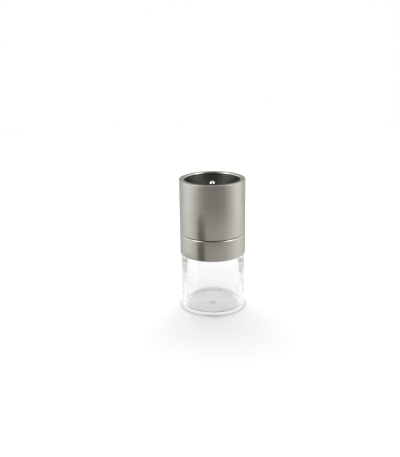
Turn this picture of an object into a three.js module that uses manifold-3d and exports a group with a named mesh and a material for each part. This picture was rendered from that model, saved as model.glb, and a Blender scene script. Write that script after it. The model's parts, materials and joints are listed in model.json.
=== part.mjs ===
// Compact pepper mill that stands on its clear jar with the grinder on top, in millimetres, +Z up.
// The origin is the centre of the jar's foot. The mill is turned upside down to grind: holding the
// jar and turning the steel head turns the outer burr round the inner one, and the ground pepper
// leaves through the open recess in the head. A bayonet releases the head so the jar can be filled.
import * as THREE from "three";
import { mergeVertices } from "three/addons/utils/BufferGeometryUtils.js";
import Module from "manifold-3d";

const wasm = await Module();
wasm.setup();

// ---------------------------------------------------------------- driving dimensions
const BODY_RADIUS = 25; // outside of both steel sleeves
const SHEET = 0.7; // steel sheet of both sleeves
const JAR_SHOWN = 44; // clear jar below the collar
const COLLAR_HEIGHT = 16; // steel collar, lower edge to seam
const HEAD_HEIGHT = 41.2; // steel head, seam to rim
const SEAM = 0.5; // turning gap between collar and head

const SLIP = 0.15; // radial or axial clearance of parts that sit in each other
const RUN = 0.25; // clearance of parts that turn in each other
const BEDDING = 0.1; // gap left where two parts lie on each other

const FACETS = 40; // facets round a large turned part
const SMALL_FACETS = 20; // facets round a small one

// Jar
const JAR_INSET = 0.7; // jar's outside, in from the steel
const JAR_WALL = 2.3; // at the mouth
const JAR_DRAFT = 0.25; // inner radius lost from mouth to floor
const JAR_OUTER_DRAFT = 0.2; // outer radius lost from the neck to the foot
const JAR_FLOOR = 1.6;
const JAR_EDGE = 0.5; // rounding of the outer lower edge
const JAR_FLOOR_FILLET = 2.6;
const FOOT_WIDTH = 2.2; // ring the jar stands on
const FOOT_RECESS = 0.3;
const GATE_RADIUS = 1.4; // moulding gate mark under the floor
const GATE_HEIGHT = 0.2;
const NECK_HEIGHT = 6;
const NECK_WALL = 1.3;
const NECK_BEAD = 0.15; // snap bead round the neck
const BEAD_LENGTH = 1;

// Collar and coupling
const COLLAR_LIP = 0.8; // thickness of the collar's inward lower lip
const EDGE_CHAMFER = 0.25; // outer edges at the seam
const GASKET_HEIGHT = 0.5;
const GASKET_WIDTH = 1;
const COUPLING_HEIGHT = 5.4; // coupling ring above the gasket
const COUPLING_BORE = 20.4;
const TRACK_DEPTH = 1.8; // bayonet track, out from the bore
const TRACK_FLOOR = 1; // coupling ring below the track
const TRACK_HEIGHT = 2.4;
const LUG_COUNT = 3;
const LUG_WIDTH = 22; // degrees
const LUG_SIDE_CLEARANCE = 2; // degrees at each side of a lug in its slot
const UNLOCK_TURN = 36; // degrees from locked to the entry slot

// Neck spider, which carries the spindle
const SPIGOT_WALL = 1.3;
const FLANGE_HEIGHT = 2;
const BEARING_RING_HEIGHT = 7.6; // above the flange
const BEARING_RING_WALL = 1.8;
const BEARING_RADIUS = 21.4;
const HUB_RADIUS = 5.5;
const HUB_DROP = 9.3; // hub's lower end below the flange's top
const ARM_WIDTH = 3.2;
const ARM_HEIGHT = 5;
const CLIP_LIFT = 4.1; // head clip's lower face above the flange's top
const CLIP_THICK = 1;
const CLIP_WIDTH = 1.9;
const CLIP_BITE = 0.9; // how far the clip reaches into the spider
const CLIP_OPENING = 30; // degrees

// Head
const RIM_WIDTH = 4; // flat rim round the recess
const RIM_THICK = 1.2;
const RIM_ROUND = 0.5;
const RIM_CHAMFER = 0.6;
const RECESS_DEPTH = 18;
const LEDGE_THICK = 3.4; // core's ledge that carries the burr holder

// Burrs
const BURR_HEIGHT = 14;
const OUTER_BURR_RADIUS = 16;
const HOLDER_WALL = 1.05;
const HOLDER_LIP = 1.5;
const HOLDER_FLANGE = 1.6;
const COVER_THICK = 1.2;
const KEY_COUNT = 4; // keys that stop the outer burr turning in its holder
const KEY_WIDTH = 3;
const KEY_DEPTH = 0.6;
const FINE_LENGTH = 5; // finishing teeth, at the outlet
const FINE_SLOPE = 0.4; // radius gained per millimetre along the finishing teeth
const OUTLET_WALL = 2.8; // outer burr's outside to the inner burr's largest radius
const GRIND_GAP = 0.45; // radial gap between the finishing teeth at rest
const INNER_ENTRY_RADIUS = 7.4;
const ENTRY_WALL = 2; // outer burr's wall at the inlet
const BREAKER_DEPTH = 1.2; // breaking teeth, at the inlet
const FINE_DEPTH = 0.35;
const INNER_TEETH = 16;
const OUTER_TEETH = 20;
const BURR_TWIST = 28; // degrees the teeth turn from inlet to outlet

// Spindle and adjustment
const SPINDLE_SQUARE = 5;
const THREAD_RADIUS = 2.4;
const THREAD_LENGTH = 9;
const BURR_TRAVEL = 0.8; // how far the knob can push the inner burr down
const SPINDLE_TAIL = 1.6; // below the clip groove
const GROOVE_DEPTH = 0.9;
const ECLIP_RADIUS = 4.2;
const ECLIP_THICK = 0.7;
const WASHER_RADIUS = 5.2;
const WASHER_THICK = 0.6;
const BUSH_RADIUS = 4.9;
const BUSH_FLANGE_RADIUS = 6.4;
const BUSH_FLANGE = 1.1;
const SPRING_WIRE = 0.9;
const SPRING_RADIUS = 5.1; // centre of the wire
const SPRING_TURNS = 5;
const SPRING_STEPS_PER_TURN = 12;
const KNOB_FLANGE_RADIUS = 6;
const KNOB_FLANGE = 1.4;
const KNURL_RADIUS = 4.7;
const KNURL_LENGTH = 8.6;
const KNURL_RIDGES = 18;
const KNURL_DEPTH = 0.45;
const TIP_RADIUS = 2.25;
const TIP_BELOW_RIM = 2;

// Cover screws
const SCREW_COUNT = 3;
const SCREW_RADIUS = 0.9;
const SCREW_LENGTH = 5.5;
const SCREW_HEAD_RADIUS = 1.6;
const SCREW_HEAD = 1;
const SCREW_SLOT = 0.45;

// ---------------------------------------------------------------- worked-out sizes
const sleeveBore = BODY_RADIUS - SHEET;
const insert = sleeveBore - SLIP; // outside of what fits in a sleeve

const jarRadius = BODY_RADIUS - JAR_INSET;
const mouthRadius = jarRadius - JAR_WALL;
const neckRadius = mouthRadius + NECK_WALL;
const neckTop = JAR_SHOWN + NECK_HEIGHT;

const collarBottom = JAR_SHOWN + BEDDING;
const seamBottom = JAR_SHOWN + COLLAR_HEIGHT;
const seamTop = seamBottom + SEAM;
const rimTop = seamTop + HEAD_HEIGHT;

const gasketTop = neckTop + BEDDING + GASKET_HEIGHT;
const couplingBottom = gasketTop + BEDDING;
const couplingTop = couplingBottom + COUPLING_HEIGHT;
const trackLow = couplingBottom + TRACK_FLOOR;
const trackHigh = trackLow + TRACK_HEIGHT;
const trackRadius = COUPLING_BORE + TRACK_DEPTH;

const flangeBottom = couplingTop + BEDDING;
const flangeTop = flangeBottom + FLANGE_HEIGHT;
const spigotRadius = COUPLING_BORE - SLIP;
const spigotBore = spigotRadius - SPIGOT_WALL;
const spigotBottom = couplingBottom + BEDDING;
const bearingTop = flangeTop + BEARING_RING_HEIGHT;
const bearingBore = BEARING_RADIUS - BEARING_RING_WALL;
const hubBottom = flangeTop - HUB_DROP;
const clipLow = flangeTop + CLIP_LIFT;
const clipHigh = clipLow + CLIP_THICK;
const clipInner = BEARING_RADIUS - CLIP_BITE;
const clipOuter = clipInner + CLIP_WIDTH;

const recessRadius = BODY_RADIUS - RIM_WIDTH;
const coverTop = rimTop - RECESS_DEPTH;
const coverBottom = coverTop - COVER_THICK;
const holderTop = coverBottom - BEDDING;
const ledgeTop = holderTop - HOLDER_FLANGE - BEDDING;
const ledgeBottom = ledgeTop - LEDGE_THICK;
const coreBottom = seamTop + SLIP;
const coreBore = BEARING_RADIUS + RUN;
const linerRadius = recessRadius + SHEET;

const burrTop = holderTop - RUN;
const burrBottom = burrTop - BURR_HEIGHT;
const fineStart = burrTop - FINE_LENGTH;
const outletRadius = OUTER_BURR_RADIUS - OUTLET_WALL;
const outerEntryRadius = OUTER_BURR_RADIUS - ENTRY_WALL;
const holderBore = OUTER_BURR_RADIUS + SLIP;
const holderRadius = holderBore + HOLDER_WALL;
const holderBottom = burrBottom - BEDDING - HOLDER_LIP;
const ledgeBore = holderRadius + RUN;
const flangeRadius = recessRadius - SLIP;

const squareHole = SPINDLE_SQUARE + 2 * SLIP;
const cornerRadius = SPINDLE_SQUARE / Math.SQRT2; // the square's corners, from the axis
const seatBottom = flangeTop + BEDDING;
const seatTop = seatBottom + WASHER_THICK;
const bushFlangeTop = burrBottom - BEDDING;
const bushBottom = bushFlangeTop - BUSH_FLANGE;
const thrustBottom = burrTop + BEDDING;
const thrustTop = thrustBottom + WASHER_THICK;
const knobBottom = thrustTop + BEDDING;
const shoulderTop = knobBottom - BURR_TRAVEL - RUN; // where the square ends and the thread begins
const tipTop = rimTop - TIP_BELOW_RIM;
const threadTop = knobBottom + THREAD_LENGTH;
const tailWasherTop = hubBottom - BEDDING;
const tailWasherBottom = tailWasherTop - WASHER_THICK;
const eclipTop = tailWasherBottom - BEDDING;
const eclipBottom = eclipTop - ECLIP_THICK;
const screwCircle = flangeRadius - SCREW_HEAD_RADIUS - SLIP;

const rad = THREE.MathUtils.degToRad;

// ---------------------------------------------------------------- shape helpers

// A [radius, height] outline, anticlockwise, turned about Z. It closes on itself or on the axis.
function turned(outline, facets = FACETS) {
  const onAxis = outline[0][0] === 0;
  const points = (onAxis ? outline : [...outline, outline[0]]).map(([r, z]) => new THREE.Vector2(r, z));
  return new THREE.LatheGeometry(points, facets).rotateX(Math.PI / 2);
}

function ring(inner, outer, low, high, facets = FACETS) {
  return turned([[inner, low], [outer, low], [outer, high], [inner, high]], facets);
}

function rod(radius, low, high, facets = SMALL_FACETS) {
  return turned([[0, low], [radius, low], [radius, high], [0, high]], facets);
}

// Points of an arc for an outline, about [r, z], from one angle to the other in degrees.
function arc(r, z, radius, from, to, steps = 3) {
  return Array.from({ length: steps + 1 }, (_, i) => {
    const angle = rad(from + ((to - from) * i) / steps);
    return [r + radius * Math.cos(angle), z + radius * Math.sin(angle)];
  });
}

function prism(shape, low, high, curveSegments = 6) {
  const options = { depth: high - low, bevelEnabled: false, curveSegments };
  return new THREE.ExtrudeGeometry(shape, options).translate(0, 0, low);
}

// Part of a ring, centred on an angle, both angles in degrees.
function sector(inner, outer, middle, width, low, high) {
  const from = rad(middle - width / 2);
  const to = rad(middle + width / 2);
  const shape = new THREE.Shape();
  shape.absarc(0, 0, outer, from, to, false);
  shape.absarc(0, 0, inner, to, from, true);
  return prism(shape, low, high, Math.ceil(width / 24));
}

// A bar along a radius at an angle in degrees.
function bar(inner, outer, width, low, high, angle) {
  return new THREE.BoxGeometry(outer - inner, width, high - low)
    .translate((inner + outer) / 2, 0, (low + high) / 2)
    .rotateZ(rad(angle));
}

function square(side, low, high) {
  return new THREE.BoxGeometry(side, side, high - low).translate(0, 0, (low + high) / 2);
}

function solid(geometry) {
  const bare = geometry.clone();
  bare.deleteAttribute("normal");
  bare.deleteAttribute("uv");
  const { attributes, index } = mergeVertices(bare, 1e-4);
  const mesh = new wasm.Mesh({
    numProp: 3,
    vertProperties: attributes.position.array,
    triVerts: new Uint32Array(index.array),
  });
  return new wasm.Manifold(mesh);
}

function surface(manifold) {
  const { vertProperties, triVerts } = manifold.getMesh();
  return new THREE.BufferGeometry()
    .setAttribute("position", new THREE.BufferAttribute(vertProperties, 3))
    .setIndex(new THREE.BufferAttribute(triVerts, 1));
}

const joined = (...pieces) => surface(pieces.map(solid).reduce((all, piece) => all.add(piece)));
const cut = (body, ...tools) =>
  surface(tools.map(solid).reduce((left, tool) => left.subtract(tool), solid(body)));

const around = (count, make, first = 0) =>
  Array.from({ length: count }, (_, i) => make(first + (360 * i) / count, i));

// ---------------------------------------------------------------- jar unit

function jar() {
  const base = jarRadius - JAR_OUTER_DRAFT;
  const foot = base - JAR_EDGE - FOOT_WIDTH;
  const floorRadius = mouthRadius - JAR_DRAFT;
  const bead = JAR_SHOWN + NECK_HEIGHT / 2;
  return turned([
    [0, FOOT_RECESS - GATE_HEIGHT],
    [GATE_RADIUS, FOOT_RECESS - GATE_HEIGHT],
    [GATE_RADIUS, FOOT_RECESS],
    [foot - FOOT_RECESS, FOOT_RECESS],
    [foot, 0],
    ...arc(base - JAR_EDGE, JAR_EDGE, JAR_EDGE, -90, 0),
    [jarRadius, JAR_SHOWN],
    [neckRadius, JAR_SHOWN],
    [neckRadius, bead - BEAD_LENGTH / 2],
    [neckRadius + NECK_BEAD, bead],
    [neckRadius, bead + BEAD_LENGTH / 2],
    [neckRadius, neckTop],
    [mouthRadius, neckTop],
    ...arc(floorRadius - JAR_FLOOR_FILLET, JAR_FLOOR + JAR_FLOOR_FILLET, JAR_FLOOR_FILLET, 0, -90),
    [0, JAR_FLOOR],
  ]);
}

function collarSleeve() {
  const lip = neckRadius + 2 * SLIP;
  return turned([
    [lip, collarBottom],
    [BODY_RADIUS - EDGE_CHAMFER, collarBottom],
    [BODY_RADIUS, collarBottom + EDGE_CHAMFER],
    [BODY_RADIUS, seamBottom - EDGE_CHAMFER],
    [BODY_RADIUS - EDGE_CHAMFER, seamBottom],
    [sleeveBore, seamBottom],
    [sleeveBore, collarBottom + COLLAR_LIP],
    [lip, collarBottom + COLLAR_LIP],
  ]);
}

// Black ring bonded in the collar: a skirt round the jar's neck, and the bayonet tracks above it.
function couplingRing() {
  const skirt = neckRadius + NECK_BEAD + SLIP;
  const body = turned([
    [skirt, collarBottom + COLLAR_LIP + BEDDING],
    [insert, collarBottom + COLLAR_LIP + BEDDING],
    [insert, couplingTop],
    [COUPLING_BORE, couplingTop],
    [COUPLING_BORE, couplingBottom],
    [skirt, couplingBottom],
  ]);
  const inside = COUPLING_BORE - TRACK_DEPTH;
  const slotWidth = LUG_WIDTH + 2 * LUG_SIDE_CLEARANCE;
  const slots = around(LUG_COUNT, (angle) =>
    sector(inside, trackRadius, angle + UNLOCK_TURN, slotWidth, trackLow, couplingTop + 1),
  );
  const tracks = around(LUG_COUNT, (angle) =>
    sector(inside, trackRadius, angle + UNLOCK_TURN / 2, slotWidth + UNLOCK_TURN, trackLow, trackHigh),
  );
  return cut(body, ...slots, ...tracks);
}

function lipGasket() {
  return ring(mouthRadius + SLIP, mouthRadius + SLIP + GASKET_WIDTH, neckTop + BEDDING, gasketTop);
}

// ---------------------------------------------------------------- spider and spindle

// The grinder's fixed frame: bayonet spigot, flange, bearing ring for the head, and arms to the hub.
function neckSpider() {
  const groove = clipInner - SLIP;
  const body = turned([
    [spigotBore, spigotBottom],
    [spigotRadius, spigotBottom],
    [spigotRadius, flangeBottom],
    [sleeveBore - RUN, flangeBottom],
    [sleeveBore - RUN, flangeTop],
    [BEARING_RADIUS, flangeTop],
    [BEARING_RADIUS, clipLow - SLIP],
    [groove, clipLow - SLIP],
    [groove, clipHigh + SLIP],
    [BEARING_RADIUS, clipHigh + SLIP],
    [BEARING_RADIUS, bearingTop],
    [bearingBore, bearingTop],
    [bearingBore, flangeTop],
    [spigotBore, flangeBottom],
  ]);
  const lugHigh = trackHigh - 2 * SLIP;
  const lugs = around(LUG_COUNT, (angle) =>
    sector(spigotBore + SLIP, trackRadius - RUN, angle, LUG_WIDTH, trackLow + 2 * SLIP, lugHigh),
  );
  const armTop = flangeTop - BEDDING;
  const armEnd = spigotBore + SPIGOT_WALL / 2;
  const arms = around(LUG_COUNT, (angle) =>
    bar(HUB_RADIUS / 2, armEnd, ARM_WIDTH, armTop - ARM_HEIGHT, armTop, angle), 90);
  const hub = rod(HUB_RADIUS, hubBottom, flangeTop);
  const frame = joined(body, hub, ...lugs, ...arms);
  return cut(frame, square(squareHole, hubBottom - 1, flangeTop + 1));
}

function spindle() {
  const tail = eclipBottom - SPINDLE_TAIL;
  const groove = new THREE.Shape().absarc(0, 0, 2 * SPINDLE_SQUARE, 0, 2 * Math.PI, false);
  groove.holes.push(new THREE.Path().absarc(0, 0, SPINDLE_SQUARE / 2 - GROOVE_DEPTH, 0, 2 * Math.PI, true));
  const shaft = square(SPINDLE_SQUARE, tail, shoulderTop);
  const body = cut(shaft, prism(groove, eclipBottom - SLIP, eclipTop + SLIP));
  const thread = turned([
    [0, shoulderTop - 1],
    [THREAD_RADIUS, shoulderTop - 1],
    [THREAD_RADIUS, threadTop - EDGE_CHAMFER],
    [THREAD_RADIUS - EDGE_CHAMFER, threadTop],
    [0, threadTop],
  ], SMALL_FACETS);
  return joined(body, thread);
}

const washer = (radius, low, high) => ring(cornerRadius + SLIP, radius, low, high, SMALL_FACETS);
const spindleWasher = () => washer(WASHER_RADIUS, tailWasherBottom, tailWasherTop);

// Spring clip pushed onto the spindle's groove from the side.
function spindleClip() {
  const bore = SPINDLE_SQUARE / 2 - GROOVE_DEPTH + SLIP;
  const mouth = bar(0, 2 * ECLIP_RADIUS, 2 * bore - SLIP, eclipBottom - 1, eclipTop + 1, 0);
  return cut(ring(bore, ECLIP_RADIUS, eclipBottom, eclipTop, SMALL_FACETS), mouth);
}

const springSeat = () => washer(SPRING_RADIUS + SPRING_WIRE, seatBottom, seatTop);

// Centre line of the spring's wire, with a flat closed turn at each end.
class SpringLine extends THREE.Curve {
  getPoint(t, target = new THREE.Vector3()) {
    const low = seatTop + BEDDING + SPRING_WIRE / 2;
    const high = bushBottom - BEDDING - SPRING_WIRE / 2;
    const closed = 0.8 / SPRING_TURNS;
    const rise = THREE.MathUtils.clamp((t - closed) / (1 - 2 * closed), 0, 1);
    const lift = SPRING_WIRE * (Math.min(t, closed) + Math.max(t - 1 + closed, 0)) / closed;
    const angle = 2 * Math.PI * SPRING_TURNS * t;
    const climb = high - low - 2 * SPRING_WIRE;
    const z = low + lift + climb * rise;
    return target.set(SPRING_RADIUS * Math.cos(angle), SPRING_RADIUS * Math.sin(angle), z);
  }
}

function burrSpring() {
  const wire = new THREE.Shape().absarc(0, 0, SPRING_WIRE / 2, 0, 2 * Math.PI, false);
  return new THREE.ExtrudeGeometry(wire, {
    extrudePath: new SpringLine(),
    steps: SPRING_TURNS * SPRING_STEPS_PER_TURN,
    curveSegments: 3,
    bevelEnabled: false,
  });
}

// ---------------------------------------------------------------- head

const slipRing = () => ring(coreBore, sleeveBore - RUN, flangeTop + BEDDING, coreBottom - BEDDING);

const headClip = () => sector(clipInner, clipOuter, 180, 360 - CLIP_OPENING, clipLow, clipHigh);

// Outer steel wall with the flat rim turned in to the recess.
function headSleeve() {
  return turned([
    [sleeveBore, seamTop],
    [BODY_RADIUS - EDGE_CHAMFER, seamTop],
    [BODY_RADIUS, seamTop + EDGE_CHAMFER],
    ...arc(BODY_RADIUS - RIM_ROUND, rimTop - RIM_ROUND, RIM_ROUND, 0, 90, 2),
    [recessRadius + RIM_CHAMFER, rimTop],
    [recessRadius, rimTop - RIM_CHAMFER],
    [recessRadius, rimTop - RIM_THICK],
    [sleeveBore, rimTop - RIM_THICK],
  ]);
}

const recessLiner = () => ring(recessRadius, linerRadius, coverBottom, rimTop - RIM_THICK - BEDDING);

// Black body inside the steel: bearing bore below, ledge for the burr holder, skirt up to the rim.
function headCore() {
  const groove = clipOuter + SLIP;
  const skirtBore = linerRadius + SLIP;
  const holderSeat = coverBottom - 2 * BEDDING;
  const body = turned([
    [coreBore, coreBottom],
    [insert, coreBottom],
    [insert, rimTop - RIM_THICK - BEDDING],
    [skirtBore, rimTop - RIM_THICK - BEDDING],
    [skirtBore, holderSeat],
    [flangeRadius + SLIP, holderSeat],
    [flangeRadius + SLIP, ledgeTop],
    [ledgeBore, ledgeTop],
    [ledgeBore, ledgeBottom],
    [coreBore, ledgeBottom - coreBore + ledgeBore],
    [coreBore, clipHigh + SLIP],
    [groove, clipHigh + SLIP],
    [groove, clipLow - SLIP],
    [coreBore, clipLow - SLIP],
  ]);
  return cut(body, ...screwHoles(ledgeBottom, ledgeTop));
}

function screwPlaces(make) {
  return around(SCREW_COUNT, (angle, i) => make(
    screwCircle * Math.cos(rad(angle)),
    screwCircle * Math.sin(rad(angle)),
    i,
  ), 30);
}

function screwHoles(low, high) {
  return screwPlaces((x, y) => rod(SCREW_RADIUS + SLIP, low - 1, high + 1, 10).translate(x, y, 0));
}

// Cup that holds the outer burr, hung by its flange on the core's ledge.
function burrHolder() {
  const body = turned([
    [outerEntryRadius + SLIP, holderBottom],
    [holderRadius, holderBottom],
    [holderRadius, ledgeTop + BEDDING],
    [flangeRadius, ledgeTop + BEDDING],
    [flangeRadius, holderTop],
    [holderBore, holderTop],
    [holderBore, burrBottom - BEDDING],
    [outerEntryRadius + SLIP, burrBottom - BEDDING],
  ]);
  const keyEnd = holderBore + KEY_DEPTH + SLIP;
  const keyways = around(KEY_COUNT, (angle) =>
    bar(holderBore - 1, keyEnd, KEY_WIDTH + 2 * SLIP, burrBottom - BEDDING, holderTop + 1, angle));
  return cut(body, ...keyways, ...screwHoles(ledgeTop, holderTop));
}

function burrCover() {
  const body = ring(outletRadius + 1, flangeRadius, coverBottom, coverTop);
  return cut(body, ...screwHoles(coverBottom, coverTop));
}

function coverScrew(x, y) {
  const head = coverTop + BEDDING;
  const screw = turned([
    [0, head - SCREW_LENGTH],
    [SCREW_RADIUS, head - SCREW_LENGTH],
    [SCREW_RADIUS, head],
    [SCREW_HEAD_RADIUS, head],
    [SCREW_HEAD_RADIUS, head + SCREW_HEAD / 2],
    [SCREW_HEAD_RADIUS - SCREW_HEAD / 2, head + SCREW_HEAD],
    [0, head + SCREW_HEAD],
  ], 10);
  const slots = [0, 90].map((angle) =>
    bar(-SCREW_RADIUS, SCREW_RADIUS, SCREW_SLOT, head + SCREW_HEAD / 2, head + SCREW_HEAD + 1, angle));
  return cut(screw, ...slots).translate(x, y, 0);
}

// ---------------------------------------------------------------- burrs

// A toothed, twisted solid of revolution. Each station is [height, tip radius, tooth depth]; side is
// -1 where the teeth stand out of the solid, and 1 where the solid cuts teeth into a ring.
function toothed(stations, teeth, side) {
  const low = stations[0][0];
  const high = stations.at(-1)[0];
  const outline = [[0, low], ...stations.map(([z, tip]) => [tip, z]), [0, high]];
  const geometry = turned(outline, 4 * teeth);
  const position = geometry.attributes.position;
  const point = new THREE.Vector3();
  const twistAxis = new THREE.Vector3(0, 0, 1);
  for (let i = 0; i < position.count; i++) {
    point.fromBufferAttribute(position, i);
    const radius = Math.hypot(point.x, point.y);
    if (radius < 1) continue; // on the axis
    const station = stations.find(([z]) => Math.abs(z - point.z) < 0.01);
    const facet = Math.round(Math.atan2(point.y, point.x) / rad(360 / (4 * teeth)));
    const wave = (((facet % 4) + 4) % 4) / 3; // a saw tooth over four facets
    const moved = radius + side * station[2] * wave;
    point.multiply(new THREE.Vector3(moved / radius, moved / radius, 1));
    point.applyAxisAngle(twistAxis, rad(BURR_TWIST * (point.z - low)) / (high - low));
    position.setXYZ(i, point.x, point.y, point.z);
  }
  return geometry;
}

function innerBurr() {
  const fineRadius = outletRadius - FINE_LENGTH * FINE_SLOPE;
  const middle = (burrBottom + fineStart) / 2;
  const cone = toothed([
    [burrBottom, INNER_ENTRY_RADIUS, BREAKER_DEPTH / 2],
    [middle, (INNER_ENTRY_RADIUS + fineRadius) / 2, BREAKER_DEPTH],
    [fineStart, fineRadius, FINE_DEPTH],
    [burrTop, outletRadius, FINE_DEPTH],
  ], INNER_TEETH, -1);
  return cut(cone, rod(BUSH_RADIUS + SLIP, burrBottom - 1, burrTop + 1));
}

function outerBurr() {
  const fineRadius = outletRadius + GRIND_GAP - FINE_LENGTH * FINE_SLOPE;
  const overshoot = 0.5; // how far the cutting shape passes the ring's faces
  const blank = rod(OUTER_BURR_RADIUS, burrBottom, burrTop, FACETS);
  const keys = around(KEY_COUNT, (angle) =>
    bar(OUTER_BURR_RADIUS - 1, OUTER_BURR_RADIUS + KEY_DEPTH, KEY_WIDTH, burrBottom, burrTop, angle));
  const cutter = toothed([
    [burrBottom - overshoot, outerEntryRadius, BREAKER_DEPTH],
    [fineStart, fineRadius, FINE_DEPTH],
    [burrTop + overshoot, outletRadius + GRIND_GAP + overshoot * FINE_SLOPE, FINE_DEPTH],
  ], OUTER_TEETH, 1);
  return cut(joined(blank, ...keys), cutter);
}

// Bush that keys the inner burr to the square spindle, and takes the spring's push.
function burrBush() {
  const body = turned([
    [0, bushBottom],
    [BUSH_FLANGE_RADIUS, bushBottom],
    [BUSH_FLANGE_RADIUS, bushFlangeTop],
    [BUSH_RADIUS, bushFlangeTop],
    [BUSH_RADIUS, burrTop],
    [0, burrTop],
  ], SMALL_FACETS);
  return cut(body, square(squareHole, bushBottom - 1, burrTop + 1));
}

const thrustWasher = () => washer(KNOB_FLANGE_RADIUS, thrustBottom, thrustTop);

// Tall knurled nut on the spindle's thread. Its slim domed tip stands up almost to the rim.
function adjustingKnob() {
  const gripLow = knobBottom + KNOB_FLANGE;
  const gripHigh = gripLow + KNURL_LENGTH;
  const core = KNURL_RADIUS - KNURL_DEPTH;
  const taper = core - TIP_RADIUS;
  const body = turned([
    [0, knobBottom],
    [KNOB_FLANGE_RADIUS, knobBottom],
    [KNOB_FLANGE_RADIUS, gripLow],
    [core, gripLow],
    [core, gripHigh],
    [TIP_RADIUS, gripHigh + taper],
    ...arc(0, tipTop - TIP_RADIUS, TIP_RADIUS, 0, 90, 4).slice(0, -1),
    [0, tipTop],
  ], SMALL_FACETS);
  const knurl = new THREE.Shape(around(2 * KNURL_RIDGES, (angle, i) => {
    const radius = i % 2 ? core : KNURL_RADIUS;
    return new THREE.Vector2(radius * Math.cos(rad(angle)), radius * Math.sin(rad(angle)));
  }));
  const margin = KNURL_DEPTH;
  const grip = prism(knurl, gripLow + margin, gripHigh - margin);
  return cut(joined(body, grip), rod(THREAD_RADIUS + SLIP, knobBottom - 1, threadTop + BURR_TRAVEL + RUN));
}

// ---------------------------------------------------------------- assembly

const brushedSteel = { color: 0x9a968c, roughness: 0.35, metalness: 1 };
const brightSteel = { color: 0xc8c8c6, roughness: 0.18, metalness: 1 };
const clearPlastic = { color: 0xf4f6f6, roughness: 0.05, metalness: 0, transparent: true, opacity: 0.25 };
const blackPlastic = { color: 0x1c1c20, roughness: 0.5, metalness: 0 };
const bearingPlastic = { color: 0x2a2a2c, roughness: 0.35, metalness: 0 };
const ceramic = { color: 0xe9e4d8, roughness: 0.55, metalness: 0 };
const rubber = { color: 0x4a4a4c, roughness: 0.8, metalness: 0 };

const mill = new THREE.Group();

function add(name, geometry, finish) {
  const mesh = new THREE.Mesh(geometry, new THREE.MeshStandardMaterial(finish));
  mesh.name = name;
  mill.add(mesh);
}

add("jar", jar(), clearPlastic);
add("collar_sleeve", collarSleeve(), brushedSteel);
add("coupling_ring", couplingRing(), blackPlastic);
add("lip_gasket", lipGasket(), rubber);

add("neck_spider", neckSpider(), blackPlastic);
add("spindle", spindle(), brightSteel);
add("spindle_washer", spindleWasher(), brightSteel);
add("spindle_clip", spindleClip(), brightSteel);
add("spring_seat", springSeat(), brightSteel);
add("burr_spring", burrSpring(), brightSteel);
add("head_clip", headClip(), brightSteel);

add("head_sleeve", headSleeve(), brushedSteel);
add("recess_liner", recessLiner(), brushedSteel);
add("head_core", headCore(), blackPlastic);
add("slip_ring", slipRing(), bearingPlastic);
add("burr_holder", burrHolder(), blackPlastic);
add("outer_burr", outerBurr(), ceramic);
add("burr_cover", burrCover(), blackPlastic);
screwPlaces((x, y, i) => add(`cover_screw_${i + 1}`, coverScrew(x, y), brightSteel));

add("inner_burr", innerBurr(), ceramic);
add("burr_bush", burrBush(), blackPlastic);
add("thrust_washer", thrustWasher(), brightSteel);
add("adjusting_knob", adjustingKnob(), brightSteel);

export default mill;
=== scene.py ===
"""Compact pepper mill: clear jar, steel collar, turning steel head with an open outlet recess."""
import json
from math import cos, pi, radians, sin, tan

import bmesh
import bpy
from mathutils import Matrix, Vector


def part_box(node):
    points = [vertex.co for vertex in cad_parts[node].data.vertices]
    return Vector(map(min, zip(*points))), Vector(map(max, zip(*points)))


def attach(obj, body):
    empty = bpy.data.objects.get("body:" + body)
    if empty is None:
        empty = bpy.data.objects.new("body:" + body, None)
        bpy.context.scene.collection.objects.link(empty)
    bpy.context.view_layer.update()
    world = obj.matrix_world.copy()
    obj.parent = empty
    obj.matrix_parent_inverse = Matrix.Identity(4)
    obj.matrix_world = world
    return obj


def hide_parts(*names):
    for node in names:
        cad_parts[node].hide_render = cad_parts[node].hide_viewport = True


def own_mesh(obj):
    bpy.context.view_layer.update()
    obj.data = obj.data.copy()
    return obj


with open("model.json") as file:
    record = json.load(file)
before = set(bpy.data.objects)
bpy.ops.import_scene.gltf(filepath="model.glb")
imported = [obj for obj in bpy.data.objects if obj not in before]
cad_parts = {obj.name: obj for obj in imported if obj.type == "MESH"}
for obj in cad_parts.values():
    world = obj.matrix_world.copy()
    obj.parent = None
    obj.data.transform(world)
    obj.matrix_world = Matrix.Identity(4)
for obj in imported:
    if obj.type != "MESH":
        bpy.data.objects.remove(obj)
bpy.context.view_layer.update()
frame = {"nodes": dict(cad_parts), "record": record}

MM = 0.001


# ---------------------------------------------------------------- sizes from the frame, in millimetres
def low(node):
    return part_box(node)[0][2] / MM


def high(node):
    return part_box(node)[1][2] / MM


def radius(node):
    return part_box(node)[1][0] / MM


STEEL_R = radius("head_sleeve")
RIM_Z = high("head_sleeve")
SEAM_TOP = low("head_sleeve")
SEAM_BOTTOM = high("collar_sleeve")
COLLAR_LOW = low("collar_sleeve")
JAR_R = radius("jar")
NECK_TOP = high("jar")
COVER_TOP = high("burr_cover")
COVER_LOW = low("burr_cover")
KNOB_LOW = low("adjusting_knob")
TIP_TOP = high("adjusting_knob")

# ---------------------------------------------------------------- sizes that aren't in the frame, also in mm
SHEET = 0.7  # steel sheet
RIM_WIDTH = 4.0  # flat rim round the recess
RECESS_R = STEEL_R - RIM_WIDTH
BURR_TRAVEL = 0.8  # how far the knob pushes the inner burr down

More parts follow.
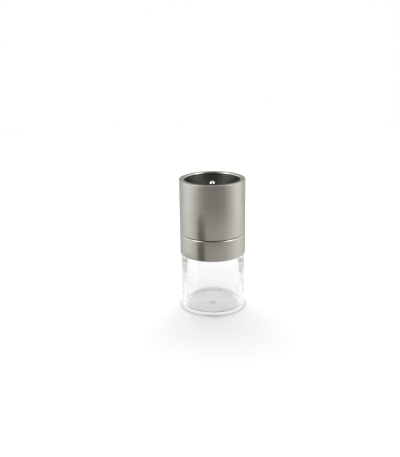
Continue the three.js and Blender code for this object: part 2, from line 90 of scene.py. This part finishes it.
JAR_WALL = 2.3  # at the mouth
JAR_DRAFT = 0.25  # inner radius lost from mouth to floor
JAR_OUTER_DRAFT = 0.2  # outer radius lost from shoulder to foot
JAR_FLOOR = 1.6
FLOOR_FILLET = 2.6  # inner rounding between wall and floor
FOOT_EDGE = 0.5
FOOT_WIDTH = 2.0  # flat of the ring the jar stands on
FOOT_RECESS = 0.3
FOOT_ROUND = 0.1
FOOT_SLOPE = 0.5  # between the foot's flat and the recess
GATE_R = 1.35  # moulding gate mark under the floor
GATE_LOW = 0.1
GATE_ROUND = 0.1
SHOULDER_ROUND = 0.2
NECK_WALL = 1.3
NECK_HEIGHT = 6.0
LIP_ROUND = 0.3
BEAD_R = 0.5  # snap bead round the neck
BEAD_OUT = 0.15
BEAD_LIFT = 3.0  # above the shoulder

COLLAR_CLEARANCE = 0.3  # collar's lip to the jar's neck
COLLAR_LIP = 0.8
COLLAR_ROUND = 0.3
BEVEL_DOWN = 0.66  # bevel of the collar's upper edge
BEVEL_IN = 0.64
BEVEL_ROUND = 0.08
HEAD_ROUND = 0.28  # head's lower edge
RIM_ROUND = 0.2
RIM_THICK = 1.2
RIM_BEVEL = 0.6  # rim's edge at the recess, across
RIM_BEVEL_DOWN = 0.65
RIM_BEVEL_ROUND = 0.1
SLIP_IN = 21.65  # slip ring's bore

COVER_GAP = 1.0  # cover's hole to the inner burr
COVER_ROUND = 0.2
COVER_HOLE_ROUND = 0.4
SHANK_R = 0.9
SCREW_R = 1.6
SCREW_EDGE = 0.1
SCREW_DOME = 0.7
SCREW_LIFT = 0.1  # head above the cover
CROSS_DEPTH = 0.6
CROSS_TOP = (0.2, 0.8)  # half width and half length of the cross recess
CROSS_BOTTOM = (0.16, 0.6)

KNOB_R = radius("adjusting_knob")
KNOB_FLANGE = 1.4
KNOB_ROUND = 0.2
GRIP_R = 4.25
GRIP_LENGTH = 8.6
GRIP_LOW = KNOB_LOW + KNOB_FLANGE
GRIP_HIGH = GRIP_LOW + GRIP_LENGTH
GRIP_STEP = 0.05  # plain part at each end of the knurl
KNURL = 0.45
KNURL_RUNOUT = 0.5
RIDGES = 36
TIP_R = 2.25
WAIST_ROUND = 0.6
BORE_R = 2.55
BORE_CLEARANCE = 0.25  # over the spindle when the knob is screwed down
BORE_TOP = high("spindle") + BURR_TRAVEL + BORE_CLEARANCE

WIRE_R = 0.45
SEAT_GAP = 0.1
SPRING_LOW = high("spring_seat") + SEAT_GAP
SPRING_HIGH = high("burr_spring")
SPRING_TURNS = 5


# ---------------------------------------------------------------- mesh helpers
def finish_mesh(name, bm, body, nodes, material, sharp=30):
    bmesh.ops.remove_doubles(bm, verts=bm.verts, dist=1e-7)
    bmesh.ops.recalc_face_normals(bm, faces=bm.faces)
    mesh = bpy.data.meshes.new(name)
    bm.to_mesh(mesh)
    bm.free()
    for polygon in mesh.polygons:
        polygon.use_smooth = True
    mesh.set_sharp_from_angle(angle=radians(sharp))
    obj = bpy.data.objects.new(name, mesh)
    bpy.context.collection.objects.link(obj)
    mesh.materials.append(material)
    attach(obj, body)
    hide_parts(*nodes)
    return obj


def arc(r, z, size, start, end, steps=8):
    """Points of a rounded corner about (r, z), angles in degrees."""
    points = []
    for i in range(steps + 1):
        a = radians(start + (end - start) * i / steps)
        points.append((r + size * cos(a), z + size * sin(a)))
    return points


def lathe_faces(bm, outline, segments, centre):
    """Turns an outline of (radius, height) about a vertical axis. A radius may be a function of the angle.

    The outline closes on itself, or starts and ends on the axis.
    """
    cx, cy = centre
    on_axis = outline[0][0] == 0 and outline[-1][0] == 0
    rings = []
    for r, z in outline:
        if r == 0:
            rings.append([bm.verts.new((cx * MM, cy * MM, z * MM))])
            continue
        ring = []
        for i in range(segments):
            a = 2 * pi * i / segments
            size = r(a) if callable(r) else r
            ring.append(bm.verts.new(((cx + size * cos(a)) * MM, (cy + size * sin(a)) * MM, z * MM)))
        rings.append(ring)
    pairs = list(zip(rings, rings[1:])) + ([] if on_axis else [(rings[-1], rings[0])])
    for a, b in pairs:
        for i in range(segments):
            j = (i + 1) % segments
            corners = [a[i % len(a)], a[j % len(a)], b[j % len(b)], b[i % len(b)]]
            unique = list(dict.fromkeys(corners))
            if len(unique) > 2:
                bm.faces.new(unique)


def lathe(name, outline, body, node, material, segments=192, sharp=30, centre=(0, 0)):
    bm = bmesh.new()
    lathe_faces(bm, outline, segments, centre)
    return finish_mesh(name, bm, body, [node], material, sharp)


# ---------------------------------------------------------------- node helpers
class Nodes:
    """Short calls for building a tree of nodes."""

    def __init__(self, tree):
        self.tree = tree

    def new(self, kind, **settings):
        node = self.tree.nodes.new(kind)
        for key, value in settings.items():
            setattr(node, key, value)
        return node

    def link(self, a, b):
        self.tree.links.new(a, b)

    def fill(self, sockets, values):
        """Sets or links each input socket."""
        for socket, value in zip(sockets, values):
            if isinstance(value, (int, float, tuple)):
                socket.default_value = value
            else:
                self.link(value, socket)

    def coordinates(self, scale):
        where = self.new("ShaderNodeTexCoord")
        mapping = self.new("ShaderNodeMapping")
        mapping.inputs["Scale"].default_value = scale
        self.link(where.outputs["Object"], mapping.inputs["Vector"])
        return mapping.outputs["Vector"]

    def noise(self, scale, detail=2.0, roughness=0.5):
        node = self.new("ShaderNodeTexNoise")
        node.inputs["Scale"].default_value = 1.0
        node.inputs["Detail"].default_value = detail
        node.inputs["Roughness"].default_value = roughness
        self.link(self.coordinates(scale), node.inputs["Vector"])
        return node.outputs["Fac"]

    def ramp(self, value, *stops):
        node = self.new("ShaderNodeValToRGB")
        elements = node.color_ramp.elements
        while len(elements) < len(stops):
            elements.new(0.5)
        for element, (position, color) in zip(elements, stops):
            element.position = position
            element.color = (*color, 1.0)
        self.link(value, node.inputs["Fac"])
        return node.outputs["Color"]

    def span(self, value, low_value, high_value):
        node = self.new("ShaderNodeMapRange")
        node.inputs["To Min"].default_value = low_value
        node.inputs["To Max"].default_value = high_value
        self.link(value, node.inputs["Value"])
        return node.outputs["Result"]

    def smooth(self, value, start, end):
        node = self.new("ShaderNodeMapRange", interpolation_type="SMOOTHSTEP")
        node.inputs["From Min"].default_value = start
        node.inputs["From Max"].default_value = end
        self.link(value, node.inputs["Value"])
        return node.outputs["Result"]

    def math(self, operation, *values):
        node = self.new("ShaderNodeMath", operation=operation)
        self.fill(node.inputs, values)
        return node.outputs[0]

    def blend(self, factor, a, b, kind="MIX"):
        """Mixes two colours. A colour is a socket or (red, green, blue)."""
        node = self.new("ShaderNodeMix", data_type="RGBA", blend_type=kind)
        a, b = [(*color, 1.0) if isinstance(color, tuple) else color for color in (a, b)]
        self.fill((node.inputs[0], node.inputs[6], node.inputs[7]), (factor, a, b))
        return node.outputs[2]

    def distance(self, point):
        """How far a point of the surface is from a point of the scene."""
        node = self.new("ShaderNodeVectorMath", operation="DISTANCE")
        self.link(self.new("ShaderNodeTexCoord").outputs["Object"], node.inputs[0])
        node.inputs[1].default_value = point
        return node.outputs["Value"]

    def axes(self, space):
        """A point's or direction's X, Y and Z."""
        node = self.new("ShaderNodeSeparateXYZ")
        self.link(self.new("ShaderNodeTexCoord").outputs[space], node.inputs["Vector"])
        return node.outputs

    def turn(self, axes):
        """0 to 1 round the mill, 0.5 at the front."""
        angle = self.math("ARCTAN2", axes["X"], self.math("MULTIPLY", axes["Y"], -1))
        return self.math("ADD", self.math("DIVIDE", angle, 2 * pi), 0.5)

    def around(self, turn, stops):
        """Brightness by degrees from the front."""
        return self.ramp(turn, *[(0.5 + angle / 360, grey(value)) for angle, value in stops])


class Material(Nodes):
    def __init__(self, name):
        self.material = bpy.data.materials.new(name)
        self.material.use_nodes = True
        super().__init__(self.material.node_tree)
        self.shader = self.tree.nodes["Principled BSDF"]

    def set(self, **values):
        self.fill([self.shader.inputs[key.replace("_", " ")] for key in values], values.values())

    def bump(self, height, distance):
        node = self.new("ShaderNodeBump")
        node.inputs["Strength"].default_value = 1.0
        node.inputs["Distance"].default_value = distance
        self.link(height, node.inputs["Height"])
        self.link(node.outputs["Normal"], self.shader.inputs["Normal"])


WARMTH = 0.075  # the dimmer a grey, the warmer it is


def grey(value):
    warmth = WARMTH * max(0.0, 1.0 - value)
    return (value * (1 + warmth), value, value * (1 - warmth))


# ---------------------------------------------------------------- materials
BRUSHED = 5200  # grain along the axis
BRUSHED_DEPTH = 0.000002


def steel(name, dark, light, rough, grain=BRUSHED, depth=BRUSHED_DEPTH, turned=0.0):
    """Stainless steel brushed round the axis: fine rings, a slow change of gloss, and faint marks."""
    m = Material(name)
    fine = m.noise((30, 30, grain), detail=4, roughness=0.65)
    slow = m.noise((35, 35, 60), detail=3)
    m.set(Base_Color=m.ramp(fine, (0.3, dark), (0.7, light)))
    m.set(Roughness=m.math("ADD", m.span(fine, *rough), m.span(slow, -0.03, 0.03)))
    m.bump(fine, depth)
    m.set(Tangent=m.new("ShaderNodeTangent", direction_type="RADIAL", axis="Z").outputs["Tangent"])
    m.set(Metallic=1.0, Anisotropic=0.55, Anisotropic_Rotation=turned)
    return m.material


def clear_plastic():
    """Clear moulded plastic with a slight waviness and a faint bloom."""
    m = Material("clear_plastic")
    m.set(Roughness=m.span(m.noise((900, 900, 900)), 0.0, 0.035))
    m.bump(m.noise((18, 18, 30), detail=1), 0.00025)
    m.set(Transmission_Weight=1.0, IOR=1.49, Specular_IOR_Level=0.12, Base_Color=(0.994, 0.996, 0.994, 1.0))
    return m.material


def moulded(name, dark, light, rough, grain=2600, depth=0.00002):
    """Moulded plastic with a fine spark-eroded grain and slight unevenness of gloss."""
    m = Material(name)
    m.set(Base_Color=m.ramp(m.noise((90, 90, 90), detail=3), (0.3, dark), (0.7, light)))
    m.set(Roughness=m.span(m.noise((500, 500, 500)), *rough))
    m.bump(m.noise((grain, grain, grain), detail=3), depth)
    return m.material


SLEEVE = steel("sleeve_steel", (0.468, 0.465, 0.425), (0.548, 0.545, 0.50), (0.20, 0.27))
# the recess's steel is darker than the sleeve's: painted shade in the recess
SHADED_RECESS_STEEL = steel("recess_steel_painted_shade", (0.27, 0.267, 0.252), (0.33, 0.327, 0.308), (0.28, 0.34), turned=0.25)
BRIGHT = steel("turned_steel", (0.62, 0.62, 0.61), (0.78, 0.78, 0.77), (0.16, 0.26), 9000, 0.000004)
CLEAR = clear_plastic()
BLACK = moulded("black_plastic", (0.018, 0.018, 0.02), (0.032, 0.032, 0.035), (0.42, 0.6))
BEARING = moulded("bearing_plastic", (0.02, 0.02, 0.021), (0.04, 0.04, 0.042), (0.3, 0.42), 3500, 0.00001)
CERAMIC = moulded("burr_ceramic", (0.78, 0.74, 0.66), (0.88, 0.85, 0.78), (0.5, 0.68), 3800, 0.00003)
RUBBER = moulded("seal_rubber", (0.05, 0.05, 0.052), (0.08, 0.08, 0.082), (0.7, 0.85), 3000)

FINISH = {
    "clear_jar": CLEAR,
    "sleeve_steel": SLEEVE,
    "bright_steel": BRIGHT,
    "black_plastic": BLACK,
    "bearing_plastic": BEARING,
    "burr_ceramic": CERAMIC,
    "seal_rubber": RUBBER,
}
for part in frame["record"]["subparts"]:
    for material_slot in frame["nodes"][part["node"]].material_slots:
        material_slot.material = FINISH[part["material_slot"]]


# ---------------------------------------------------------------- jar unit
def jar_outline():
    mouth = JAR_R - JAR_WALL
    neck = mouth + NECK_WALL
    shoulder = NECK_TOP - NECK_HEIGHT
    outer = JAR_R - JAR_OUTER_DRAFT
    floor_r = mouth - JAR_DRAFT
    foot = outer - FOOT_EDGE - FOOT_WIDTH
    half = FOOT_RECESS / 2
    bead = shoulder + BEAD_LIFT
    return [
        (0, GATE_LOW),
        (GATE_R - GATE_ROUND, GATE_LOW),
        *arc(GATE_R - GATE_ROUND, GATE_LOW + GATE_ROUND, GATE_ROUND, -90, 0, 3),
        (GATE_R, FOOT_RECESS),
        (foot - FOOT_SLOPE, FOOT_RECESS),
        *arc(foot - FOOT_SLOPE, half, half, 90, 45, 3),
        *arc(foot + FOOT_ROUND, FOOT_ROUND, FOOT_ROUND, 225, 270, 3),
        *arc(outer - FOOT_EDGE, FOOT_EDGE, FOOT_EDGE, -90, 0, 10),
        *arc(JAR_R - SHOULDER_ROUND, shoulder - SHOULDER_ROUND, SHOULDER_ROUND, 0, 90, 4),
        *arc(neck + SHOULDER_ROUND, shoulder + SHOULDER_ROUND, SHOULDER_ROUND, 270, 180, 4),
        (neck, bead - BEAD_R),
        *arc(neck + BEAD_OUT - BEAD_R, bead, BEAD_R, -44, 44, 6),
        (neck, bead + BEAD_R),
        *arc(neck - LIP_ROUND, NECK_TOP - LIP_ROUND, LIP_ROUND, 0, 90, 4),
        *arc(mouth + LIP_ROUND, NECK_TOP - LIP_ROUND, LIP_ROUND, 90, 180, 4),
        *arc(floor_r - FLOOR_FILLET, JAR_FLOOR + FLOOR_FILLET, FLOOR_FILLET, 0, -90, 24),
        (0, JAR_FLOOR),
    ]


jar = lathe("jar_shell", jar_outline(), "jar_unit", "jar", CLEAR, 256, sharp=50)
jar.visible_shadow = False

collar_in = JAR_R - JAR_WALL + NECK_WALL + COLLAR_CLEARANCE
lathe("collar_shell", [
    (collar_in, COLLAR_LOW),
    *arc(STEEL_R - COLLAR_ROUND, COLLAR_LOW + COLLAR_ROUND, COLLAR_ROUND, -90, 0, 6),
    *arc(STEEL_R - BEVEL_ROUND, SEAM_BOTTOM - BEVEL_DOWN, BEVEL_ROUND, 0, 40, 3),
    *arc(STEEL_R - BEVEL_IN, SEAM_BOTTOM - BEVEL_ROUND, BEVEL_ROUND, 50, 90, 3),
    (STEEL_R - SHEET, SEAM_BOTTOM),
    (STEEL_R - SHEET, COLLAR_LOW + COLLAR_LIP),
    (collar_in, COLLAR_LOW + COLLAR_LIP),
], "jar_unit", "collar_sleeve", SLEEVE, 256)

# ---------------------------------------------------------------- head unit
lathe("head_shell", [
    (STEEL_R - SHEET, SEAM_TOP),
    *arc(STEEL_R - HEAD_ROUND, SEAM_TOP + HEAD_ROUND, HEAD_ROUND, -90, 0, 6),
    *arc(STEEL_R - RIM_ROUND, RIM_Z - RIM_ROUND, RIM_ROUND, 0, 90, 5),
    (RECESS_R + RIM_BEVEL, RIM_Z),
    *arc(RECESS_R + RIM_BEVEL_ROUND, RIM_Z - RIM_BEVEL_DOWN, RIM_BEVEL_ROUND, 150, 180, 2),
    (RECESS_R, RIM_Z - RIM_THICK),
    (STEEL_R - SHEET, RIM_Z - RIM_THICK),
], "head_unit", "head_sleeve", SLEEVE, 256, sharp=25)


def ring_outline(node, inner, outer):
    """Outline of a plain ring as high as a node."""
    bottom, top = low(node), high(node)
    return [(inner, bottom), (outer, bottom), (outer, top), (inner, top)]


liner = ring_outline("recess_liner", RECESS_R, RECESS_R + SHEET)
lathe("liner_shell", liner, "head_unit", "recess_liner", SHADED_RECESS_STEEL, 256)
slip = ring_outline("slip_ring", SLIP_IN, radius("slip_ring"))
lathe("slip_ring_fine", slip, "head_unit", "slip_ring", BEARING)

# ---------------------------------------------------------------- burr cover and its screws
cover_in = radius("inner_burr") + COVER_GAP
cover_out = radius("burr_cover")
lathe("burr_cover_fine", [
    (cover_in, COVER_LOW),
    (cover_out - COVER_ROUND, COVER_LOW),
    *arc(cover_out - COVER_ROUND, COVER_TOP - COVER_ROUND, COVER_ROUND, 0, 90, 4),
    *arc(cover_in + COVER_HOLE_ROUND, COVER_TOP - COVER_HOLE_ROUND, COVER_HOLE_ROUND, 90, 180, 6),
], "head_unit", "burr_cover", BLACK)


def cross(half_width, half_length):
    """Outline of a cross recess, as a radius by angle."""
    def size(a):
        folded = abs((a + pi / 4) % (pi / 2) - pi / 4)
        if tan(folded) < half_width / half_length:
            return half_length / cos(folded)
        return half_width / sin(folded)
    return size


for number in (1, 2, 3):
    node = f"cover_screw_{number}"
    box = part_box(node)
    centre = [(box[0][k] + box[1][k]) / 2 / MM for k in (0, 1)]
    end_z, head_z = low(node), high(node)
    under = COVER_TOP + SCREW_LIFT
    lathe(f"cover_screw_fine_{number}", [
        (0, end_z),
        (SHANK_R, end_z),
        (SHANK_R, under),
        (SCREW_R - SCREW_EDGE, under),
        *arc(SCREW_R - SCREW_EDGE, under + SCREW_EDGE, SCREW_EDGE, -90, 0, 2),
        *arc(SCREW_R - SCREW_DOME, head_z - SCREW_DOME, SCREW_DOME, 0, 90, 8),
        (cross(*CROSS_TOP), head_z),
        (cross(*CROSS_BOTTOM), head_z - CROSS_DEPTH),
        (0, head_z - CROSS_DEPTH),
    ], "head_unit", node, BRIGHT, 96, sharp=35, centre=centre)


# ---------------------------------------------------------------- knob
def knurl(a):
    """Radius of the knurl by angle."""
    step = round(a / (2 * pi) * RIDGES * 4) % 4
    return GRIP_R + KNURL * (1, 0.6, 0, 0.6)[step]


waist = GRIP_HIGH + GRIP_R - TIP_R
flange_in = KNOB_R - KNOB_ROUND
knob = lathe("knob", [
    (0, BORE_TOP),
    (BORE_R, BORE_TOP),
    (BORE_R, KNOB_LOW + KNOB_ROUND),
    (BORE_R + KNOB_ROUND, KNOB_LOW),
    *arc(flange_in, KNOB_LOW + KNOB_ROUND, KNOB_ROUND, -90, 0, 4),
    *arc(flange_in, GRIP_LOW - KNOB_ROUND, KNOB_ROUND, 0, 90, 4),
    (GRIP_R, GRIP_LOW),
    (GRIP_R, GRIP_LOW + GRIP_STEP),
    (knurl, GRIP_LOW + KNURL_RUNOUT),
    (knurl, GRIP_HIGH - KNURL_RUNOUT),
    (GRIP_R, GRIP_HIGH - GRIP_STEP),
    (GRIP_R, GRIP_HIGH),
    *arc(TIP_R + WAIST_ROUND, waist + WAIST_ROUND / 2, WAIST_ROUND, 225, 180, 5),
    *arc(0, TIP_TOP - TIP_R, TIP_R, 0, 90, 14)[:-1],
    (0, TIP_TOP),
], "knob_unit", "adjusting_knob", BRIGHT, RIDGES * 4, sharp=35)
knob.visible_glossy = False


# ---------------------------------------------------------------- spring under the inner burr
def spring():
    """Round wire with a flat closed turn at each end."""
    middle_r = radius("burr_spring") - WIRE_R
    bottom = SPRING_LOW + WIRE_R
    steps, sides = 300, 12
    closed = 0.8 / SPRING_TURNS
    climb = SPRING_HIGH - WIRE_R - bottom - 4 * WIRE_R
    bm = bmesh.new()
    rings = []
    for k in range(steps + 1):
        t = k / steps
        a = 2 * pi * SPRING_TURNS * t
        lift = 2 * WIRE_R * (min(t, closed) + max(t - 1 + closed, 0)) / closed
        z = bottom + lift + climb * min(max((t - closed) / (1 - 2 * closed), 0), 1)
        section = []
        for m in range(sides):
            b = 2 * pi * m / sides
            r = middle_r + WIRE_R * cos(b)
            section.append(bm.verts.new((r * MM * cos(a), r * MM * sin(a), (z + WIRE_R * sin(b)) * MM)))
        rings.append(section)
    for a, b in zip(rings, rings[1:]):
        for m in range(sides):
            bm.faces.new([a[m], a[(m + 1) % sides], b[(m + 1) % sides], b[m]])
    bm.faces.new(rings[0])
    bm.faces.new(rings[-1])
    obj = finish_mesh("burr_spring_fine", bm, "grinder_frame", ["burr_spring"], BRIGHT, 50)
    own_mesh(obj)


spring()


# ---------------------------------------------------------------- stage: floor, in metres
FLOOR_R = 0.9
FLOOR_DROP = 0.00002
WHITE = (1.0, 1.0, 1.0)
BLACKOUT = (0.0, 0.0, 0.0)
PAPER = (0.87, 0.87, 0.865)
# paper made lighter under the jar's floor (painted light) and darker under the foot ring and the gate
# (painted shadow)
PAINTED_LIGHT_UNDER_JAR = (0.95, 0.95, 0.945)
PAINTED_SHADOW_UNDER_FOOT = (0.55, 0.55, 0.545)
PAINTED_SHADOW_UNDER_GATE = (0.35, 0.35, 0.345)
PAINTED_GLOW = (0.06, 0.06, 0.06)  # painted light: emission standing in for light that reaches the paper through the clear floor
# paper darker towards a point in front of the mill: painted shade
PAINTED_FRONT_SHADE = (0.94, 0.94, 0.94)
PAINTED_SHADE_CENTRE = (0.02, -0.06, 0)
PAINTED_SHADE_AND_LIGHT_STOPS = [  # colour by distance from the axis: painted shadow under the gate and the foot ring, painted light under the jar's floor
    (0.0014, PAINTED_SHADOW_UNDER_GATE), (0.0018, PAINTED_LIGHT_UNDER_JAR), (0.0208, PAINTED_LIGHT_UNDER_JAR),
    (0.0215, PAINTED_SHADOW_UNDER_FOOT), (0.0234, PAINTED_SHADOW_UNDER_FOOT), (0.0244, PAPER),
]
PAINTED_GLOW_STOPS = [(0.0014, BLACKOUT), (0.0018, PAINTED_GLOW), (0.0195, PAINTED_GLOW), (0.0215, BLACKOUT)]


def stage_object(name, bm):
    """A flat piece of the stage."""
    mesh = bpy.data.meshes.new(name)
    bm.to_mesh(mesh)
    bm.free()
    obj = bpy.data.objects.new(name, mesh)
    bpy.context.collection.objects.link(obj)
    return obj


def disc(segments, size):
    bm = bmesh.new()
    bmesh.ops.create_circle(bm, cap_ends=True, segments=segments, radius=size)
    return bm


floor = stage_object("floor", disc(128, FLOOR_R))
floor.location.z = -FLOOR_DROP
paper = Material("paper")
unevenness = paper.span(paper.noise((6, 6, 6)), -0.0004, 0.0004)
around_foot = paper.math("ADD", paper.distance((0, 0, 0)), unevenness)
painted_front_shade = paper.ramp(paper.distance(PAINTED_SHADE_CENTRE), (0.02, PAINTED_FRONT_SHADE), (0.14, WHITE))
# painted shadow and painted light round the foot, multiplied by the painted shade in front
paper.set(Base_Color=paper.blend(1.0, paper.ramp(around_foot, *PAINTED_SHADE_AND_LIGHT_STOPS), painted_front_shade, "MULTIPLY"))
# the paper under the jar's floor glows: painted light
paper.set(Emission_Color=paper.ramp(around_foot, *PAINTED_GLOW_STOPS))
paper.set(Roughness=0.9, Specular_IOR_Level=0.2, Emission_Strength=1.0)
floor.data.materials.append(paper.material)
floor.visible_glossy = False

# ---------------------------------------------------------------- stage: lamps
MIDDLE = (0, 0, 0.06)
LAMPS = [  # name, place, width, height, power
    ("back_softbox", (0, 0.75, 0.9), 1.6, 0.9, 8.84),
    ("top_softbox", (0, 0, 1.2), 1.8, 1.8, 4.16),
    ("front_softbox", (0, -1.0, 0.9), 1.6, 0.8, 1.56),
]
for name, place, width, height, power in LAMPS:
    light = bpy.data.lights.new(name, "AREA")
    light.shape = "RECTANGLE"
    light.size = width
    light.size_y = height
    light.energy = power
    lamp = bpy.data.objects.new(name, light)
    bpy.context.collection.objects.link(lamp)
    lamp.location = place
    lamp.rotation_euler = (Vector(MIDDLE) - Vector(place)).to_track_quat("-Z", "Y").to_euler()
    lamp.visible_glossy = lamp.visible_transmission = False

# ---------------------------------------------------------------- stage: studio round the mill
WALLS = [  # degrees from the front, brightness just below the horizon
    (-180, 0.86), (-162, 0.72), (-136, 0.62), (-104, 1.12), (-84, 1.12), (-70, 0.90),
    (-43, 0.45), (-22, 0.35), (0, 0.32), (20, 0.33), (41, 0.37),
    (64, 0.70), (84, 1.10), (104, 1.18), (133, 0.62), (162, 0.74), (180, 0.86),
]
TABLE = [  # the same for the pale table near the mill
    (-180, 0.7), (-145, 0.60), (-104, 0.98), (-84, 1.04), (-66, 0.82), (-42, 0.50), (-20, 0.50),
    (0, 0.51), (20, 0.53), (41, 0.60), (64, 0.84), (84, 1.05), (104, 1.05), (140, 0.64), (180, 0.7),
]
UPPER = [  # the same above the horizon
    (-180, 0.40), (-150, 0.55), (-90, 3.0), (-60, 2.9), (-42, 0.15), (0, 0.01),
    (42, 0.15), (60, 2.7), (90, 2.8), (150, 0.55), (180, 0.40),
]
CEILING = [  # how far to a side, brightness overhead
    (0.0, 0.10), (0.44, 0.25), (0.53, 2.0), (0.60, 5.2), (0.76, 4.6), (1.0, 1.5),
]
CEILING_BACK = 1.1
THROUGH = 1.0  # as the clear jar shows it
THROUGH_ABOVE = 0.8
AMBIENT = 0.60  # even light on dull surfaces
REPEATED_LOSS = 0.85  # part of the light lost after repeated reflection in steel
PLASTIC_GAIN = 0.37  # taken off that loss for light that also went through the jar
HORIZON = (-0.08, 0.12)  # each pair says where one brightness passes into the next, by direction
CEILING_EDGE = (0.40, 0.62)
CEILING_MIDDLE = (-0.15, 0.1)
THROUGH_EDGE = (0.25, 0.5)
REPEATED = (2.2, 3.0)  # count of bounces over which that loss sets in

world = bpy.data.worlds.new("studio")
world.use_nodes = True
bpy.context.scene.world = world
studio = Nodes(world.node_tree)
rays = studio.new("ShaderNodeLightPath").outputs
axes = studio.axes("Generated")
turn = studio.turn(axes)
sideways = studio.math("ABSOLUTE", axes["X"])
ceiling = studio.ramp(sideways, *[(x, grey(value)) for x, value in CEILING])
ceiling = studio.blend(studio.smooth(axes["Y"], *CEILING_MIDDLE), ceiling, grey(CEILING_BACK))
above = studio.smooth(axes["Z"], *HORIZON)
tent = studio.blend(above, studio.around(turn, WALLS), studio.around(turn, UPPER))
tent = studio.blend(studio.smooth(axes["Z"], *CEILING_EDGE), tent, ceiling)
behind_plastic = studio.math("MINIMUM", rays["Transmission Depth"], 1.0)
loss = studio.math("SUBTRACT", REPEATED_LOSS, studio.math("MULTIPLY", behind_plastic, PLASTIC_GAIN))
repeated = studio.smooth(rays["Ray Depth"], *REPEATED)
tent = studio.blend(studio.math("MULTIPLY", repeated, loss), tent, BLACKOUT)
through = studio.blend(studio.smooth(axes["Z"], *THROUGH_EDGE), grey(THROUGH), grey(THROUGH_ABOVE))
tent = studio.blend(rays["Is Transmission Ray"], tent, through)
tent = studio.blend(rays["Is Diffuse Ray"], tent, (AMBIENT, AMBIENT, AMBIENT))
tent = studio.blend(rays["Is Camera Ray"], tent, WHITE)
studio.link(tent, world.node_tree.nodes["Background"].inputs["Color"])


# ---------------------------------------------------------------- stage: what only reflections see, in metres
def reflector(name, bm):
    """A glowing piece that only reflections see. Gives its nodes and the socket of its glow."""
    obj = stage_object(name, bm)
    nodes = Material(name)
    glow = nodes.new("ShaderNodeEmission")
    nodes.link(glow.outputs[0], nodes.tree.nodes["Material Output"].inputs["Surface"])
    obj.data.materials.append(nodes.material)
    obj.visible_camera = obj.visible_diffuse = obj.visible_transmission = obj.visible_shadow = False
    return nodes, glow.inputs["Color"]


SHEET_R = 0.36
SHEET_FADE = 0.17  # from here out the table takes the walls' brightness
table, table_color = reflector("table_sheet", disc(96, SHEET_R))
table_turn = table.turn(table.axes("Object"))
fade = table.smooth(table.distance((0, 0, 0)), SHEET_FADE, SHEET_R)
table.link(table.blend(fade, table.around(table_turn, TABLE), table.around(table_turn, WALLS)), table_color)

CARD_DISTANCE = 0.072
CARD_LIFT = 0.0005
CARD_TOP = 2.4  # how much brighter a card's top is
CARDS = [  # name, degrees from the front, width, height, brightness, blue against red
    ("neighbour_ring", -35.5, 0.028, 0.066, 0.13, 0.8),
    ("neighbour_side", -84, 0.060, 0.032, 0.5, 0.93),
]
for name, degrees, width, height, brightness, blue in CARDS:
    card = bmesh.new()
    half = width / 2
    outline = [(-half, 0), (half, 0)]
    outline += [(half * cos(pi * i / 12), height - half + half * sin(pi * i / 12)) for i in range(13)]
    card.faces.new([card.verts.new((x, 0, z)) for x, z in outline])
    place = Matrix.Rotation(radians(degrees), 4, "Z") @ Matrix.Translation((0, -CARD_DISTANCE, CARD_LIFT))
    bmesh.ops.transform(card, matrix=place, verts=card.verts)
    nodes, color = reflector(name, card)
    olive = (brightness, brightness * 1.01, brightness * blue)
    bright_olive = tuple(c * CARD_TOP for c in olive)
    nodes.link(nodes.ramp(nodes.axes("Generated")["Z"], (0.5, olive), (1.0, bright_olive)), color)

# ---------------------------------------------------------------- light guided along the jar's wall
cycles = bpy.context.scene.cycles
cycles.max_bounces = 200
cycles.glossy_bounces = 100
cycles.transmission_bounces = 200

# ---------------------------------------------------------------- camera
CAMERA_PLACE = (-0.00963, -0.4904, 0.2178)
CAMERA_DOWN = 17.58  # degrees
CAMERA_ROLL = -0.78
camera_data = bpy.data.cameras.new("camera")
camera_data.sensor_width = 36
camera_data.lens = 52.9
camera = bpy.data.objects.new("camera", camera_data)
bpy.context.collection.objects.link(camera)
tilt = Matrix.Rotation(radians(90 - CAMERA_DOWN), 4, "X")
roll = Matrix.Rotation(radians(CAMERA_ROLL), 4, "Z")
camera.matrix_world = Matrix.Translation(CAMERA_PLACE) @ tilt @ roll
bpy.context.scene.camera = camera
bpy.context.scene.view_settings.view_transform = "Standard"
